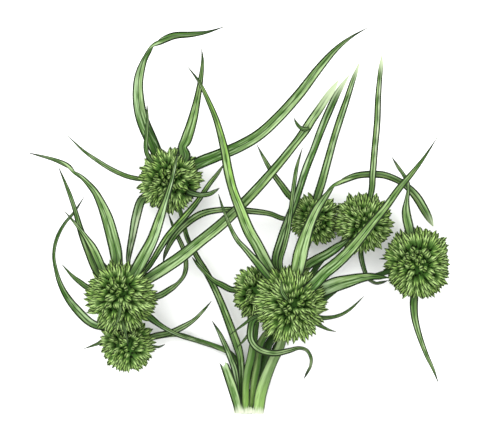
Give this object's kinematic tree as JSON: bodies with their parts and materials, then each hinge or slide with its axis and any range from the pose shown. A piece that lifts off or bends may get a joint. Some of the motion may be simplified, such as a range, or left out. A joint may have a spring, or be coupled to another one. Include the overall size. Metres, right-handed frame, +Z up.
{
  "type": "flat sedge tuft",
  "caption": "Cut tuft of dwarf flat sedge lying on a surface: spiky round green flower heads on three-angled culms, ringed by long keeled grass-like bracts.",
  "frame": {"origin": "middle of the bounding box, on the surface the tuft lies on", "axes": "+X across the tuft, +Y from the cut base towards the blade tips, +Z up from the surface"},
  "size_m": [0.0848, 0.0776, 0.0214],
  "materials": {
    "bract": "fresh green blade, faintly lined, satin",
    "leaf": "fresh green blade, faintly lined, satin",
    "sheath": "pale yellow-green torn sheath, matte",
    "culm": "smooth green stem, satin",
    "head": "yellow-green spikelets, darker between, matte",
    "crown": "pale cut base, matte"
  },
  "bodies": {
    "root": {"bract_upper_left_arching": "bract", "bract_upper_left_short": "bract", "bract_upper_left_wavy": "bract", "bract_upper_left_long": "bract", "bract_upper_left_side": "bract", "bract_upper_left_hooked": "bract", "bract_upper_left_down": "bract", "bract_left_outer": "bract", "bract_left_crossing": "bract", "bract_left_broad": "bract", "bract_left_over_head": "bract", "bract_left_rising": "bract", "bract_left_longest": "bract", "bract_left_curling": "bract", "bract_left_turning": "bract", "bract_left_low": "bract", "bract_left_small": "bract", "bract_lower_left": "bract", "bract_front_long": "bract", "bract_front_narrow": "bract", "bract_front_dark": "bract", "bract_front_slender": "bract", "bract_front_arching": "bract", "bract_front_behind": "bract", "bract_front_over_head": "bract", "bract_front_broad": "bract", "bract_front_fine_right": "bract", "bract_front_fine_left": "bract", "bract_front_looping": "bract", "bract_back": "bract", "bract_middle_arching": "bract", "bract_middle_left": "bract", "bract_middle_upright": "bract", "bract_mid_right_upright": "bract", "bract_mid_right_down": "bract", "bract_right_twisted": "bract", "bract_right_down": "bract", "leaf_long": "leaf", "leaf_short": "leaf", "sheath_broken": "sheath", "culm_centre_front": "culm", "culm_centre_back": "culm", "culm_middle": "culm", "culm_mid_right": "culm", "culm_right": "culm", "culm_upper_left": "culm", "culm_left": "culm", "culm_lower_left": "culm", "head_upper_left": "head", "head_left": "head", "head_lower_left": "head", "head_centre_front": "head", "head_centre_back": "head", "head_middle": "head", "head_mid_right": "head", "head_right": "head", "crown": "crown"}
  },
  "joints": []
}
